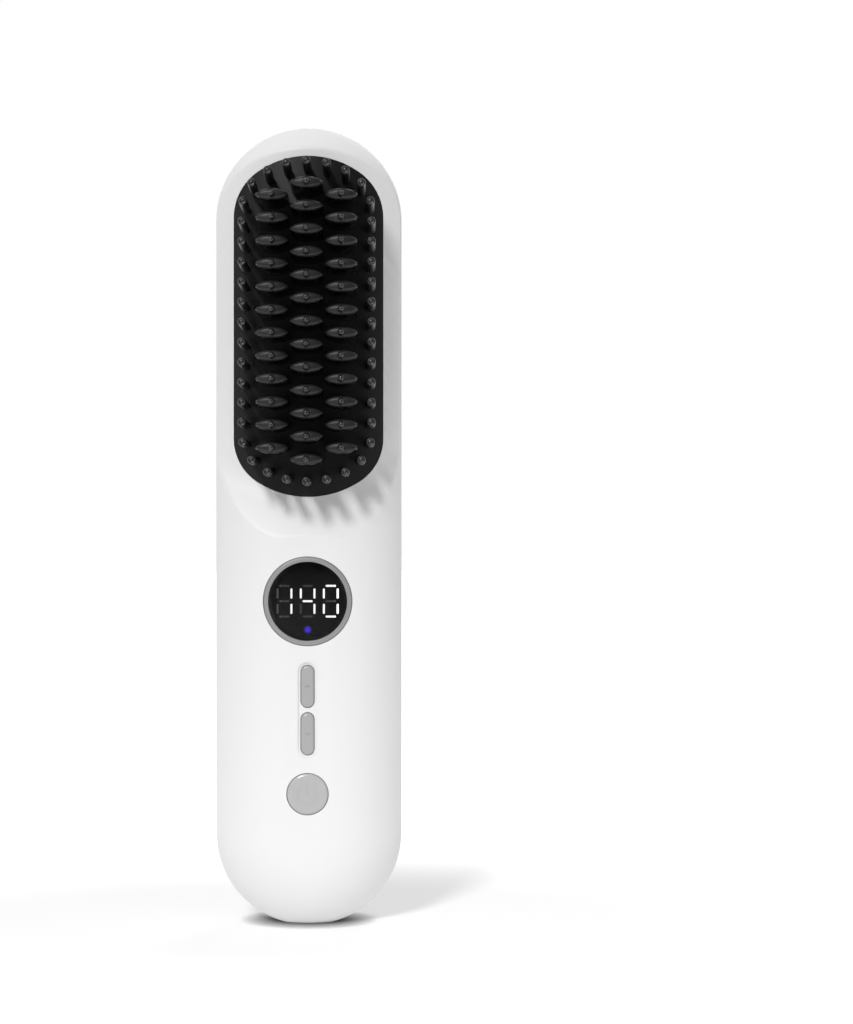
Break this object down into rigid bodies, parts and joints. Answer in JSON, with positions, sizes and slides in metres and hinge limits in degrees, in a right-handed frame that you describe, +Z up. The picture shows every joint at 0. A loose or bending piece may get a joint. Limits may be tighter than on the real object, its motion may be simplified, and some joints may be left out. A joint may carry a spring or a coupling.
{
  "type": "cordless hot comb",
  "caption": "Upright cordless hot comb: a rounded white casing with a scooped, heated comb of black fins and pins, a round display, push buttons and side vents.",
  "frame": {"origin": "middle of the charging inlet's mouth, in the plane of the flat foot, on the seam between the two shells and the centre plane", "axes": "+Z up along the handle to the head, -Y out of the face with the comb, display and buttons, +X to the right of someone who faces that side"},
  "size_m": [0.0444, 0.0435, 0.19],
  "materials": {
    "white_shell": "gloss white",
    "comb_black": "satin black",
    "heated_metal": "plain cast",
    "fin_coat": "satin black coat",
    "tip_plastic": "satin black",
    "heater_ceramic": "matt sintered",
    "mica": "matt",
    "bracket_plastic": "matt, heat-proof",
    "screw_steel": "plated",
    "sensor_glass": "clear",
    "fuse_metal": "plain",
    "lead_red": "satin",
    "lead_black": "satin",
    "vent_grey": "satin grey",
    "ring_grey": "satin grey",
    "lens_black": "polished, smoked",
    "module_black": "matt black",
    "digit_lit": "lit white",
    "digit_unlit": "translucent grey",
    "led_blue": "lit blue",
    "board_green": "solder mask",
    "chip_black": "matt",
    "button_grey": "satin grey",
    "plunger_ivory": "satin",
    "cell_metal": "sleeved steel can",
    "holder_white": "matt",
    "nickel": "plain",
    "foam_grey": "foam",
    "socket_steel": "plated"
  },
  "bodies": {
    "root": {"front_shell": "white_shell", "rear_shell": "white_shell", "back_panel": "white_shell", "comb_frame": "comb_black", "outer_pins": "comb_black", "heating_plate": "heated_metal", "left_fins": "fin_coat", "centre_fins": "fin_coat", "right_fins": "fin_coat", "left_fin_tips": "tip_plastic", "centre_fin_tips": "tip_plastic", "right_fin_tips": "tip_plastic", "ceramic_heater": "heater_ceramic", "mica_sheet": "mica", "heater_bracket": "bracket_plastic", "bracket_screws": "screw_steel", "board_screws": "screw_steel", "shell_screws": "screw_steel", "thermistor": "sensor_glass", "thermal_fuse": "fuse_metal", "heater_leads": "lead_red", "battery_leads": "lead_red", "charge_leads": "lead_black", "left_vent_inserts": "vent_grey", "right_vent_inserts": "vent_grey", "display_ring": "ring_grey", "display_lens": "lens_black", "display_module": "module_black", "switch_bodies": "module_black", "lit_segments": "digit_lit", "unlit_segments": "digit_unlit", "indicator_light": "led_blue", "control_board": "board_green", "usb_board": "board_green", "board_chips": "chip_black", "battery_cells": "cell_metal", "battery_holder": "holder_white", "nickel_strips": "nickel", "foam_pad": "foam_grey", "usb_socket": "socket_steel"},
    "up": {"up_button": "button_grey", "up_plunger": "plunger_ivory"},
    "down": {"down_button": "button_grey", "down_plunger": "plunger_ivory"},
    "power": {"power_button": "button_grey", "power_plunger": "plunger_ivory"}
  },
  "joints": [
    {"name": "up_press", "type": "slide", "parent": "root", "child": "up", "axis": [0, 1, 0], "range_m": [0, 0.0004], "stiffness_N_per_m": 3000, "springref_m": -0.0001},
    {"name": "down_press", "type": "slide", "parent": "root", "child": "down", "axis": [0, 1, 0], "range_m": [0, 0.0004], "stiffness_N_per_m": 3000, "springref_m": -0.0001},
    {"name": "power_press", "type": "slide", "parent": "root", "child": "power", "axis": [0, 1, 0], "range_m": [0, 0.0004], "stiffness_N_per_m": 3000, "springref_m": -0.0001}
  ]
}
